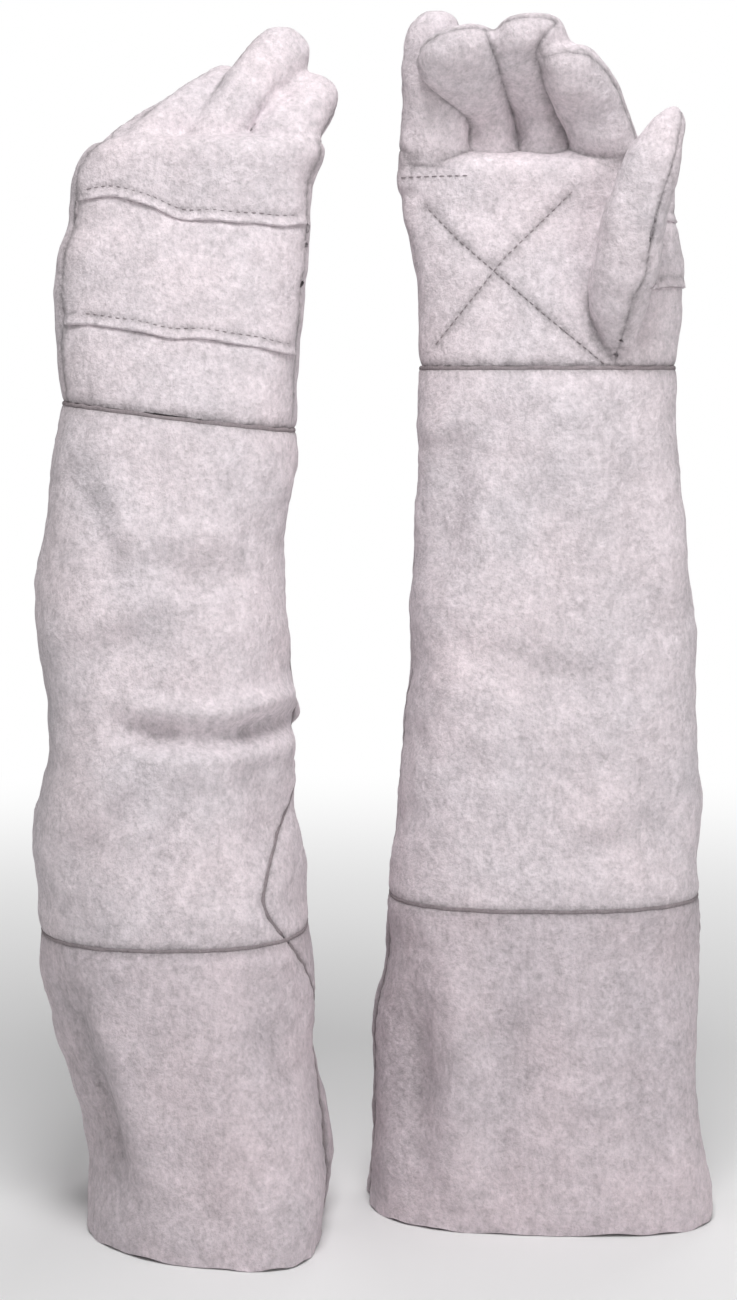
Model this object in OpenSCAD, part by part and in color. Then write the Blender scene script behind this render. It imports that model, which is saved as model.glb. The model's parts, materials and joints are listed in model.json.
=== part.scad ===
// A pair of elbow-length cryogenic gloves standing on their cuffs.
// Every glove is drawn in its own frame: +X towards the thumb, +Y towards the palm,
// +Z from the hem to the fingertips. The left glove shows its back to the front,
// the right glove its palm.

/* [Pair] */
// Distance of the right glove's hem centre to the right
right_glove_x = 88; // [80:1:110]
// Distance of the right glove's hem centre to the rear
right_glove_y = 18; // [0:1:30]
// Distance of the left glove's hem centre to the left
left_glove_x = 90; // [84:1:110]

/* [Leather and lining] */
// Thickness of the split suede
leather = 1.4; // [1.2:0.1:1.8]
// Thickness of the felt lining
felt = 2.4; // [1.5:0.1:3]
// Clearance between neighbouring layers
clearance = 0.25; // [0.2:0.05:0.4]
// Room between the leather and the felt behind it
felt_gap = 1.3; // [1.1:0.1:1.6]
// Room between the back patch and the leather under it
patch_gap = 0.8; // [0.6:0.1:1.2]
// Height of a seam welt
welt = 2.6; // [2:0.1:3]
// How far a welt stands out of the leather
welt_proud = 0.5; // [0:0.1:0.8]

/* [Seam heights] */
// Sleeve seam of the right glove above its hem
right_sleeve_seam = 170; // [160:1:180]
// Sleeve seam of the left glove above its hem, which has slumped lower
left_sleeve_seam = 157; // [150:1:170]
// Wrist seam of the right glove above its hem
right_wrist_seam = 446; // [440:1:450]
// Wrist seam of the left glove above its hem
left_wrist_seam = 421; // [415:1:425]
// Height of the wrist band
wrist_band_h = 26; // [24:1:28]
// Height of the foot of the finger-back piece
knuckle_band_h = 20; // [16:1:22]

/* [Stitching] */
// Thickness of the thread
thread = 0.9; // [0.6:0.1:1.2]
// Length of one visible stitch
stitch = 3; // [2:0.5:4]
// Distance from stitch to stitch
stitch_pitch = 5.5; // [5:0.5:8]

/* [Hidden] */
RIGHT = 0;
LEFT = 1;
SIDES = ["right", "left"];
LITTLE = 0;
RING = 1;
MIDDLE = 2;
INDEX = 3;
THUMB = 4;
DIGITS = ["little", "ring", "middle", "index", "thumb"];

// Fields of a station, a cross-section of the sleeve and hand
Z = 0;
X = 1;
Y = 2;
HALF_W = 3;
HALF_D = 4;
SLOPE = 5;

// Height, centre x, centre y, half width, half depth, and rise per millimetre towards the thumb
STATIONS = [
    [
        [0, 0, 0, 91, 60, 0], [40, -1, 0, 89, 60, 0], [80, -1, 0, 86, 59, 0],
        [125, 0, 0, 84, 58, 0], [170, 2, 0, 83, 58, 0], [232, 4, 0, 79.5, 56, 0],
        [262, 6, 0, 77, 55, 0], [294, 6, 0, 75, 54, 0], [326, 4.5, 0, 74.5, 52, 0],
        [357, 5, 0, 70.5, 50, 0], [389, 4, 0, 67, 47, 0], [420, 2, 0, 67, 44, 0],
        [446, 2, 0, 67.5, 41, 0], [462, 2.5, 0, 68, 38, 0], [483, 4.5, 0, 69, 34, 0],
        [504, 2, 0, 70.5, 30, 0], [525, -3, 0, 71, 25, 0], [545, -10, 0, 66, 20, 0]
    ],
    [
        [0, 0, 0, 63, 88, 0], [33, 2, 0, 63.5, 86, 0], [64, -2, 0, 64, 84, 0],
        [95, -9, 0, 67, 80, 0], [126, -13, 0, 69, 77, 0], [157, -15, 0, 70.5, 73, 0],
        [188, -17, 0, 70.5, 72, 0], [219, -22, 0, 67, 72, 0], [234, -22, 0, 63, 73, 0],
        [250, -17, 0, 64, 71, -0.02], [268, -16, 0, 67, 66, -0.04],
        [296, -20, 0, 66, 64, -0.05], [327, -22, 0, 63, 63, -0.06],
        [358, -20, 0, 61, 59, -0.08], [389, -16, 0, 61, 54, -0.1],
        [421, -11, 0, 60.5, 48, -0.12], [451, -12, 0, 62, 41, -0.08],
        [482, -11, 0, 64, 34, -0.06], [503, -8, 0, 64, 30, -0.05],
        [524, -4, 0, 61, 24, -0.05], [538, -1, 0, 60, 20, -0.05]
    ]
];
HAND_TOP = [545, 538];
SLEEVE_SEAM = [right_sleeve_seam, left_sleeve_seam];
WRIST_SEAM = [right_wrist_seam, left_wrist_seam];
HAND_FOOT = [for (g = [RIGHT, LEFT]) WRIST_SEAM[g] + welt + wrist_band_h];

// Roundness of the cross-sections: 2 is an ellipse, more is squarer
SQUARENESS = 2.4;
// Facets round half a sleeve and half a digit
HALF_SLEEVE_FACETS = 12;
HALF_DIGIT_FACETS = 7;
// Angle kept free at a side seam, and the half angle that its welt covers
SEAM_ANGLE = 1.1;
WELT_ANGLE = 0.5;

// Digits: base x, y, z, lean to the thumb side, first and last pitch to the palm,
// length over which they bend, whole length, half width, half depth
DIGIT_TABLE = [
    [
        [-60.5, 1, 553, -3, 4, 26, 76, 76, 14.5, 14.5],
        [-26, 1, 555, -8, 14, 62, 84, 84, 14.3, 14],
        [5, 1, 556, -9, 12, 54, 80, 80, 14.3, 14],
        [36, 1, 553, -10, 8, 44, 70, 70, 14.3, 14],
        [44, 38, 492, 5, 35, -2, 45, 92, 15.5, 13.5]
    ],
    [
        [-47, 1, 551, 34, 14, 60, 72, 72, 12.2, 13.5],
        [-17, 1, 551, 34, 10, 50, 78, 78, 12.2, 14],
        [13, 1, 551, 34, 6, 30, 84, 84, 12.2, 14],
        [43, 1, 548, 34, 8, 46, 70, 70, 12.2, 14],
        [34, 38, 482, 10, 38, 12, 45, 92, 15.5, 13.5]
    ]
];
// Share of a digit's length over which its tip rounds off
TIP_SHARE = 0.22;
// Rings along a digit, as shares of its length
DIGIT_RINGS = [0, 0.25, 0.5, 0.7, 0.84, 0.93, 0.98, 1];
LINING_RINGS = [0, 0.33, 0.66, 0.85, 0.96, 1];
// Size of the tip ring against the widest ring
TIP_END = 0.06;

SUEDE = [0.87, 0.84, 0.85];
SHADED_SUEDE = [0.8, 0.77, 0.78];
FELT = [0.93, 0.92, 0.88];
THREAD = [0.7, 0.66, 0.66];

PIECES = [
    "lower_sleeve_palm_side", "lower_sleeve_back_side", "upper_sleeve_palm_side",
    "upper_sleeve_back_side", "sleeve_lining", "sleeve_seam_welt", "wrist_seam_welt",
    "side_seam_welts", "wrist_band", "palm_panel", "back_panel", "knuckle_band",
    "back_patch", "hand_lining", "stitching"
];

// ---- cross-sections -------------------------------------------------------

function signed_pow(v, p) = sign(v) * pow(abs(v), p);
function mix(a, b, f) = a + (b - a) * f;

// The station at height z, between its neighbours in the table
function station(g, z) =
    let (t = STATIONS[g],
         last = len(t) - 2,
         k = max([0, for (i = [0:last]) if (t[i][Z] <= z) i]),
         f = (z - t[k][Z]) / (t[k + 1][Z] - t[k][Z]))
    mix(t[k], t[k + 1], f);

// A point on the skin at height z and angle a, moved inwards by inset
function skin(g, z, a, inset) =
    let (s = station(g, z),
         dx = (s[HALF_W] - inset) * signed_pow(cos(a), 2 / SQUARENESS),
         dy = (s[HALF_D] - inset) * signed_pow(sin(a), 2 / SQUARENESS))
    [s[X] + dx, s[Y] + dy, z + s[SLOPE] * dx];

// ---- digits ---------------------------------------------------------------

// Place along a digit's centre line after a length l
function digit_centre(d, l) =
    let (turn = (d[5] - d[4]) * PI / 180,
         bend = min(l, d[6]),
         radius = d[6] / turn,
         pitch = d[4] + (d[5] - d[4]) * bend / d[6],
         along = radius * (sin(pitch) - sin(d[4])) + (l - bend) * cos(pitch),
         out = radius * (cos(d[4]) - cos(pitch)) + (l - bend) * sin(pitch))
    [d[0] + along * sin(d[3]), d[1] + out, d[2] + along * cos(d[3])];

function digit_pitch(d, l) = d[4] + (d[5] - d[4]) * min(l, d[6]) / d[6];

// Narrowing of a digit at a share s of its length
function tip_round(s) =
    s <= 1 - TIP_SHARE ? 1
    : max(TIP_END, sqrt(1 - pow((s - 1 + TIP_SHARE) / TIP_SHARE, 2)));

function digit_skin(d, s, a, inset) =
    let (l = s * (d[7] - inset),
         pitch = digit_pitch(d, l),
         across = [cos(d[3]), 0, -sin(d[3])],
         to_palm = [-sin(d[3]) * sin(pitch), cos(pitch), -cos(d[3]) * sin(pitch)],
         f = tip_round(s))
    digit_centre(d, l)
        + across * (d[8] - inset) * f * cos(a)
        + to_palm * (d[9] - inset) * f * sin(a);

// ---- shells ---------------------------------------------------------------

function quad(a, b, c, d) = [[a, b, c], [a, c, d]];

// Whether the cell at row i and column j is leather and not part of a hole
function solid_cell(i, j, rows, cols, hole) =
    i >= 0 && i < rows && j >= 0 && j < cols
    && !(i >= hole[0] && i < hole[1] && j >= hole[2] && j < hole[3]);

// A sheet with thickness: outer and inner are grids of points, row by row.
// closed joins the last column to the first. hole is [row, row, column, column].
module shell(outer, inner, closed = false, hole = [-1, -1, -1, -1]) {
    across = len(outer[0]);
    rows = len(outer) - 1;
    cols = closed ? across : across - 1;
    start = len(outer) * across;
    points = concat([for (row = outer) each row], [for (row = inner) each row]);
    function o(i, j) = i * across + j % across;
    function n(i, j) = start + o(i, j);
    function wrap(j) = closed ? (j + cols) % cols : j;
    faces = [
        for (i = [0:rows - 1], j = [0:cols - 1])
            if (solid_cell(i, j, rows, cols, hole))
                each concat(
                    quad(o(i, j), o(i + 1, j), o(i + 1, j + 1), o(i, j + 1)),
                    quad(n(i, j), n(i, j + 1), n(i + 1, j + 1), n(i + 1, j)),
                    solid_cell(i - 1, j, rows, cols, hole) ? []
                        : quad(o(i, j), o(i, j + 1), n(i, j + 1), n(i, j)),
                    solid_cell(i + 1, j, rows, cols, hole) ? []
                        : quad(o(i + 1, j + 1), o(i + 1, j), n(i + 1, j), n(i + 1, j + 1)),
                    solid_cell(i, wrap(j - 1), rows, cols, hole) ? []
                        : quad(o(i + 1, j), o(i, j), n(i, j), n(i + 1, j)),
                    solid_cell(i, wrap(j + 1), rows, cols, hole) ? []
                        : quad(o(i, j + 1), o(i + 1, j + 1), n(i + 1, j + 1), n(i, j + 1))
                )
    ];
    polyhedron(points = points, faces = faces);
}

// A sleeve or hand layer from height z0 to z1 over the given angles
module layer(g, z0, z1, rows, angles, inset, thick, closed = false, hole = [-1, -1, -1, -1]) {
    heights = [for (i = [0:rows]) mix(z0, z1, i / rows)];
    shell(
        [for (z = heights) [for (a = angles) skin(g, z, a, inset)]],
        [for (z = heights) [for (a = angles) skin(g, z, a, inset + thick)]],
        closed, hole
    );
}

// Angles from seam to seam over the half that starts at angle a0
function half_angles(a0, facets) = [
    for (j = [0:facets])
        a0 + (j == 0 ? SEAM_ANGLE : j == facets ? 180 - SEAM_ANGLE : 180 * j / facets)
];
function ring_angles(facets) = [for (j = [0:facets - 1]) 360 * j / facets];

// Puts a glove drawn in its own frame where it stands
module place(g) {
    if (g == RIGHT)
        translate([right_glove_x, right_glove_y, 0]) mirror([0, 1, 0]) children();
    else
        translate([-left_glove_x, 0, 0]) children();
}

// ---- sleeve ---------------------------------------------------------------

module lower_sleeve(g, a0) {
    color(SHADED_SUEDE) place(g)
        layer(g, 0, SLEEVE_SEAM[g] - welt / 2 - clearance, 5,
              half_angles(a0, HALF_SLEEVE_FACETS), 0, leather);
}

module upper_sleeve(g, a0) {
    color(SUEDE) place(g)
        layer(g, SLEEVE_SEAM[g] + welt / 2 + clearance, WRIST_SEAM[g] - clearance, 9,
              half_angles(a0, HALF_SLEEVE_FACETS), 0, leather);
}

module sleeve_lining(g) {
    hem_gap = 3;
    color(FELT) place(g)
        layer(g, hem_gap, WRIST_SEAM[g] - clearance, 16, ring_angles(24),
              leather + 1.5 * felt_gap, felt, closed = true);
}

module ring_welt(g, z) {
    color(SHADED_SUEDE) place(g)
        layer(g, z, z + welt, 1, ring_angles(24), -welt_proud, leather + welt_proud,
              closed = true);
}

module side_seam_welts(g) {
    lengths = [
        [clearance, SLEEVE_SEAM[g] - welt / 2 - clearance, 4],
        [SLEEVE_SEAM[g] + welt / 2 + clearance, WRIST_SEAM[g] - clearance, 8]
    ];
    color(SHADED_SUEDE) place(g)
        for (l = lengths, a = [0, 180])
            layer(g, l[0], l[1], l[2], [a - WELT_ANGLE, a + WELT_ANGLE], 0, leather);
}

// ---- hand -----------------------------------------------------------------

module wrist_band(g) {
    color(SUEDE) place(g)
        layer(g, WRIST_SEAM[g] + welt + clearance, HAND_FOOT[g] - clearance, 2,
              ring_angles(24), 0, leather, closed = true);
}

// Rows and columns of the palm grid that the thumb hole takes out
PALM_ROWS = 5;
THUMB_HOLE = [1, 4, 1, 5];

module palm_panel(g) {
    color(SUEDE) place(g)
        layer(g, HAND_FOOT[g], HAND_TOP[g], PALM_ROWS, half_angles(0, HALF_SLEEVE_FACETS),
              0, leather, hole = THUMB_HOLE);
}

module back_panel(g) {
    color(SUEDE) place(g)
        layer(g, HAND_FOOT[g], HAND_TOP[g] - knuckle_band_h - clearance, 3,
              half_angles(180, HALF_SLEEVE_FACETS), 0, leather);
}

module knuckle_band(g) {
    color(SUEDE) place(g)
        layer(g, HAND_TOP[g] - knuckle_band_h, HAND_TOP[g], 2,
              half_angles(180, HALF_SLEEVE_FACETS), 0, leather);
}

module back_patch(g) {
    step = 180 / HALF_SLEEVE_FACETS;
    angles = [for (j = [1:HALF_SLEEVE_FACETS - 1]) 180 + j * step];
    color(SUEDE) place(g)
        layer(g, HAND_FOOT[g] - 1, HAND_TOP[g] - knuckle_band_h + 2, 3, angles,
              -leather - patch_gap, leather);
}

module hand_lining(g) {
    color(FELT) place(g)
        layer(g, HAND_FOOT[g], HAND_TOP[g], PALM_ROWS, ring_angles(24),
              leather + felt_gap, felt, closed = true, hole = THUMB_HOLE);
}

// ---- digits ---------------------------------------------------------------

module digit_side(g, k, a0) {
    d = DIGIT_TABLE[g][k];
    angles = half_angles(a0, HALF_DIGIT_FACETS);
    color(SUEDE) place(g)
        shell([for (s = DIGIT_RINGS) [for (a = angles) digit_skin(d, s, a, 0)]],
              [for (s = DIGIT_RINGS) [for (a = angles) digit_skin(d, s, a, leather)]]);
}

module digit_lining(g, k) {
    d = DIGIT_TABLE[g][k];
    angles = ring_angles(10);
    outside = leather + felt_gap + clearance;
    color(FELT) place(g)
        shell([for (s = LINING_RINGS) [for (a = angles) digit_skin(d, s, a, outside)]],
              [for (s = LINING_RINGS) [for (a = angles) digit_skin(d, s, a, outside + felt)]],
              closed = true);
}

// ---- stitching ------------------------------------------------------------

// One stitch from point p to point q
module thread_between(p, q) {
    v = q - p;
    translate(p)
        rotate([0, acos(v[2] / norm(v)), atan2(v[1], v[0])])
            translate([-thread / 2, -thread / 2, 0]) cube([thread, thread, norm(v)]);
}

// A row of stitches on the skin between two places given as [angle, height]
module stitch_row(g, from, to, inset) {
    p = skin(g, from[1], from[0], 0);
    q = skin(g, to[1], to[0], 0);
    count = floor(norm(q - p) / stitch_pitch);
    share = stitch / stitch_pitch;
    for (i = [0:count - 1]) {
        a = mix(from, to, i / count);
        b = mix(from, to, (i + share) / count);
        thread_between(skin(g, a[1], a[0], inset), skin(g, b[1], b[0], inset));
    }
}

module stitching(g) {
    on_palm = -1.2 * thread;
    on_patch = -leather - patch_gap - 1.2 * thread;
    top = HAND_TOP[g];
    foot = HAND_FOOT[g];
    color(THREAD) place(g) {
        stitch_row(g, [84, top - 14], [146, foot + 4], on_palm);
        stitch_row(g, [84, foot + 4], [146, top - 14], on_palm);
        stitch_row(g, [200, foot + 7], [340, foot + 7], on_patch);
        stitch_row(g, [200, top - knuckle_band_h - 6], [340, top - knuckle_band_h - 6], on_patch);
    }
}

// ---- assembly -------------------------------------------------------------

for (g = [RIGHT, LEFT]) {
    side = SIDES[g];
    lower_sleeve(g, 0);
    lower_sleeve(g, 180);
    upper_sleeve(g, 0);
    upper_sleeve(g, 180);
    sleeve_lining(g);
    ring_welt(g, SLEEVE_SEAM[g] - welt / 2);
    ring_welt(g, WRIST_SEAM[g]);
    side_seam_welts(g);
    wrist_band(g);
    palm_panel(g);
    back_panel(g);
    knuckle_band(g);
    back_patch(g);
    hand_lining(g);
    stitching(g);
    for (k = [LITTLE:THUMB]) {
        digit = str(side, "_", DIGITS[k]);
        digit_side(g, k, 0);
        digit_side(g, k, 180);
        digit_lining(g, k);
    }
}
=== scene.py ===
import json
import math

import bmesh
import bpy
import numpy as np
from bpy.props import EnumProperty, FloatProperty, FloatVectorProperty, PointerProperty
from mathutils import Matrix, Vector, noise
from mathutils.bvhtree import BVHTree


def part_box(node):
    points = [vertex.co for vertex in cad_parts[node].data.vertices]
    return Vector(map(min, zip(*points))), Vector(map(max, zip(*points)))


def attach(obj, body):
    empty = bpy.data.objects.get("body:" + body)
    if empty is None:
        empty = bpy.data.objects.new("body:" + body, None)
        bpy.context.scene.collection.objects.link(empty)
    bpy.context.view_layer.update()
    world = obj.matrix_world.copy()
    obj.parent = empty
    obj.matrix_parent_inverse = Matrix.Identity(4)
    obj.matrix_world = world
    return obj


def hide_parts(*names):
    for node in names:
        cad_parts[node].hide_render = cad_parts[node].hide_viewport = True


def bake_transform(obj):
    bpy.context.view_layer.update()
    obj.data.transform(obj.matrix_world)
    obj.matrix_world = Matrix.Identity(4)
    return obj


bl_info = {
    "name": "Cryogenic Gloves",
    "version": (1, 0, 0),
    "blender": (4, 5, 0),
    "location": "View3D > Sidebar > Gloves",
    "description": "Sews a pair of long suede cryogenic gloves around their packed frame",
    "category": "Object",
}

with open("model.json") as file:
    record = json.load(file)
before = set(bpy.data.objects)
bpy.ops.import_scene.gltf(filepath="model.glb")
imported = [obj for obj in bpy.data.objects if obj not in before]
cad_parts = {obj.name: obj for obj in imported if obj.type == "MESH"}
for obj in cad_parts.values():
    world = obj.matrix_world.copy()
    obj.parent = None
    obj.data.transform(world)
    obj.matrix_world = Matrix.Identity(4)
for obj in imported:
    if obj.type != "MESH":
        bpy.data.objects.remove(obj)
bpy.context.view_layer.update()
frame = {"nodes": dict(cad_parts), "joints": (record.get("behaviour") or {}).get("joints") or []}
MM = 0.001
SIDES = ("right", "left")
SIDE_ITEMS = [("right", "Right glove", "The glove that shows its palm"),
              ("left", "Left glove", "The glove that shows its back")]
SQUARENESS = 2.4


# ---- properties ------------------------------------------------------------

class LeatherSettings(bpy.types.PropertyGroup):
    """How thick the layers are and how the seams lie"""
    leather: FloatProperty(name="Leather", description="Thickness of the split suede",
                           default=1.6 * MM, min=0.5 * MM, max=4 * MM, unit="LENGTH")
    felt: FloatProperty(name="Felt", description="Thickness of the felt lining",
                        default=2.2 * MM, min=0.5 * MM, max=5 * MM, unit="LENGTH")
    felt_gap: FloatProperty(name="Felt gap", description="Room between leather and felt",
                            default=0.7 * MM, min=0.2 * MM, max=3 * MM, unit="LENGTH")
    seam_depth: FloatProperty(name="Seam depth", description="How deep a seam pulls the leather in",
                              default=1.5 * MM, min=0, max=4 * MM, unit="LENGTH")
    seam_reach: FloatProperty(name="Seam reach", description="How far beside a seam the leather dips",
                              default=2.2 * MM, min=0.5 * MM, max=8 * MM, unit="LENGTH")
    hand_voxel: FloatProperty(name="Hand mesh size", description="Mesh size of the hand's leather",
                              default=1.5 * MM, min=1 * MM, max=5 * MM, unit="LENGTH")
    lining_voxel: FloatProperty(name="Lining mesh size", description="Mesh size of the hand's felt",
                                default=3.2 * MM, min=1.5 * MM, max=6 * MM, unit="LENGTH")
    waviness: FloatProperty(name="Waviness", description="Height of the soft waves in the leather",
                            default=1.1 * MM, min=0, max=4 * MM, unit="LENGTH")


class StitchSettings(bpy.types.PropertyGroup):
    """Sewing thread"""
    length: FloatProperty(name="Stitch", description="Length of a visible stitch",
                          default=2.6 * MM, min=1 * MM, max=6 * MM, unit="LENGTH")
    pitch: FloatProperty(name="Pitch", description="Distance from stitch to stitch",
                         default=3.9 * MM, min=2 * MM, max=9 * MM, unit="LENGTH")
    thread: FloatProperty(name="Thread", description="Thickness of the thread",
                          default=0.7 * MM, min=0.3 * MM, max=2 * MM, unit="LENGTH")


class ColourSettings(bpy.types.PropertyGroup):
    """Base colours of the materials"""
    suede: FloatVectorProperty(name="Suede", description="Napped leather of the hand and upper sleeve",
                               subtype="COLOR", size=3, default=(0.765, 0.69, 0.72), min=0, max=1)
    # Painted shade: a darker copy of the suede colour that shades the lower sleeve
    cuff: FloatVectorProperty(name="Cuff suede", description="Napped leather of the lower sleeve",
                              subtype="COLOR", size=3, default=(0.65, 0.575, 0.605), min=0, max=1)
    welt: FloatVectorProperty(name="Welt", description="Folded strips in the seams",
                              subtype="COLOR", size=3, default=(0.3, 0.26, 0.27), min=0, max=1)
    felt: FloatVectorProperty(name="Felt", description="Needled felt lining",
                              subtype="COLOR", size=3, default=(0.74, 0.7, 0.62), min=0, max=1)
    thread: FloatVectorProperty(name="Thread", description="Sewing thread",
                                subtype="COLOR", size=3, default=(0.33, 0.29, 0.3), min=0, max=1)
    floor: FloatVectorProperty(name="Floor", description="Studio floor",
                               subtype="COLOR", size=3, default=(0.9, 0.9, 0.9), min=0, max=1)


class CameraSettings(bpy.types.PropertyGroup):
    """Where the pair is seen from"""
    distance: FloatProperty(name="Distance", description="From the right glove's axis to the camera",
                            default=1.342, min=0.5, max=5, unit="LENGTH")
    height: FloatProperty(name="Height", description="Eye height above the floor",
                          default=0.436, min=0, max=2, unit="LENGTH")
    lens: FloatProperty(name="Lens", description="Focal length in millimetres",
                        default=70.6, min=20, max=200)
    pitch: FloatProperty(name="Pitch", description="Downward tilt of the camera",
                         default=math.radians(5.82), min=0, max=1, subtype="ANGLE")


class GloveSettings(bpy.types.PropertyGroup):
    """All settings of the pair"""
    leather: PointerProperty(type=LeatherSettings)
    stitch: PointerProperty(type=StitchSettings)
    colour: PointerProperty(type=ColourSettings)
    camera: PointerProperty(type=CameraSettings)


# ---- reading the frame -----------------------------------------------------

def node_points(*names):
    """All corners of the named CAD nodes"""
    return np.concatenate([[v.co for v in frame["nodes"][n].data.vertices] for n in names])


def joint(name):
    return next(j for j in frame["joints"] if j["name"] == name)


class Glove:
    """One glove of the frame, with its own axes: x to the thumb, y to the palm, z up"""

    GIRTH_NODES = ("lower_sleeve_palm_side", "lower_sleeve_back_side", "upper_sleeve_palm_side",
                   "upper_sleeve_back_side", "wrist_band", "palm_panel", "back_panel",
                   "knuckle_band")
    LEVELS = 120

    def __init__(self, side):
        self.side = side
        palm = node_points(f"{side}_lower_sleeve_palm_side")
        back = node_points(f"{side}_lower_sleeve_back_side")
        hem = np.concatenate([palm, back])
        hem = hem[hem[:, 2] < 0.5 * MM]
        self.centre = (hem.min(0) + hem.max(0)) / 2
        self.palm_sign = 1 if palm[:, 1].mean() > back[:, 1].mean() else -1
        self.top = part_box(f"{side}_knuckle_band")[1][2]
        self.shoulder = self.top - 20 * MM
        self.sleeve_seam = self.line_of(f"{side}_sleeve_seam_welt")
        self.wrist_seam = self.line_of(f"{side}_wrist_seam_welt")
        self.measure_girth()

    def line_of(self, node):
        """Slope and height of the line along which a welt runs"""
        p = self.local(node_points(node))
        return np.polyfit(p[:, 0], p[:, 2], 1)

    def local(self, points):
        p = np.array(points, float) - (self.centre[0], self.centre[1], 0)
        p[..., 1] *= self.palm_sign
        return p

    def world(self, points):
        p = np.array(points, float)
        p[..., 1] *= self.palm_sign
        return p + (self.centre[0], self.centre[1], 0)

    def measure_girth(self):
        """Slices the CAD panels level by level into centre and half widths"""
        starts, ends = [], []
        for name in self.GIRTH_NODES:
            mesh = frame["nodes"][f"{self.side}_{name}"].data
            co = self.local([v.co for v in mesh.vertices])
            for e in mesh.edges:
                starts.append(co[e.vertices[0]])
                ends.append(co[e.vertices[1]])
        a, b = np.array(starts), np.array(ends)
        rows = []
        for z in np.linspace(0.5 * MM, self.top - 0.5 * MM, self.LEVELS):
            across = (a[:, 2] - z) * (b[:, 2] - z) < 0
            if across.sum() < 40:
                continue
            f = ((z - a[across, 2]) / (b[across, 2] - a[across, 2]))[:, None]
            p = a[across] * (1 - f) + b[across] * f
            lo, hi = p.min(0), p.max(0)
            if hi[1] < 0 or lo[1] > 0:
                continue
            rows.append((z, (lo[0] + hi[0]) / 2, (hi[0] - lo[0]) / 2, (hi[1] - lo[1]) / 2))
        self.girth = np.array(rows)

    def station(self, z):
        """Centre x, half width and half depth of the sleeve or hand at a height"""
        g = self.girth
        z = np.minimum(z, self.shoulder)
        return [np.interp(z, g[:, 0], g[:, k]) for k in (1, 2, 3)]


# ---- digits ----------------------------------------------------------------

class Digit:
    """A digit's centre line and size. Lengths are in millimetres, angles in degrees."""

    SAMPLES = 60
    TIP_SHARE = 0.22

    def __init__(self, glove, name, shift, lean, pitch, swing, straight, length, width, depth,
                 base_at, twist):
        self.name = name
        self.twist = twist
        hinge = glove.local(joint(f"{glove.side}_{name}_flex")["pos_m"])
        self.start = hinge + np.array(shift) * MM
        self.length = length * MM
        self.width, self.depth = np.array(width) * MM, np.array(depth) * MM
        share = np.linspace(0, 1, self.SAMPLES + 1)
        bend = np.clip((share * length - straight[0]) / (straight[1] - straight[0]), 0, 1)
        tilt = np.radians(pitch[0] + (pitch[1] - pitch[0]) * bend)[:, None]
        side = np.radians(lean[0] + (lean[1] - lean[0]) * share)
        up = np.stack([np.sin(side), 0 * side, np.cos(side)], 1)
        front = np.array((math.sin(math.radians(swing)), math.cos(math.radians(swing)), 0.0))
        front = front - up * (up @ front)[:, None]
        front /= np.linalg.norm(front, axis=1)[:, None]
        self.along = up * np.cos(tilt) + front * np.sin(tilt)
        self.palm = front * np.cos(tilt) - up * np.sin(tilt)
        self.across = np.cross(self.palm, self.along)
        step = self.length / self.SAMPLES
        self.centre = self.start + np.cumsum(self.along, 0) * step - self.along[0] * step
        self.base = self.start + self.along[0] * base_at * MM

    def size(self, share):
        """Half width and half depth at a share of the length, with the tip's rounding"""
        t = np.clip((share - 1 + self.TIP_SHARE) / self.TIP_SHARE, 0, 1)
        tip = np.maximum(np.sqrt(np.maximum(1 - t ** 2.2, 0)), 0.03)
        return [np.interp(share, np.linspace(0, 1, len(sizes)), sizes) * tip
                for sizes in (self.width, self.depth)]

    def rings(self, inset, sides=26):
        """Rings of points round the digit, from inside the hand to the tip"""
        angles = np.linspace(0, 2 * math.pi, sides, endpoint=False)
        x, y = superellipse(angles, 1, 1, 2.3)
        out = []
        for share in 1 - (1 - np.linspace(0, 1, 34)) ** 1.35:
            at = share * (1 - inset / self.length) * self.SAMPLES
            k = min(int(at), self.SAMPLES - 1)
            mix = [a[k] * (1 - at + k) + a[k + 1] * (at - k)
                   for a in (self.centre, self.across, self.palm)]
            w, d = [max(v - inset, 0.4 * MM) for v in self.size(share)]
            out.append(mix[0] + np.outer(x * w, mix[1]) + np.outer(y * d, mix[2]))
        return out

    def measure(self, points):
        """For each point: distance outside the digit, height above its base, palm-side offset.
        The offset turns with the digit's twist, so that its side seams show or hide."""
        nearest = np.full(len(points), np.inf)
        offset = np.zeros(len(points))
        widths = np.array(self.size(np.linspace(0, 1 - self.TIP_SHARE, self.SAMPLES + 1)))
        for k in range(0, self.SAMPLES + 1, 2):
            v = points - self.centre[k]
            distance = np.sqrt(np.einsum("ij,ij->i", v, v)) - widths[:, k].mean()
            near = distance < nearest
            nearest[near] = distance[near]
            offset[near] = v[near] @ (self.palm[k] - self.across[k] * self.twist)
        above = (points - self.base) @ self.along[0]
        return nearest, above, offset


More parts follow.
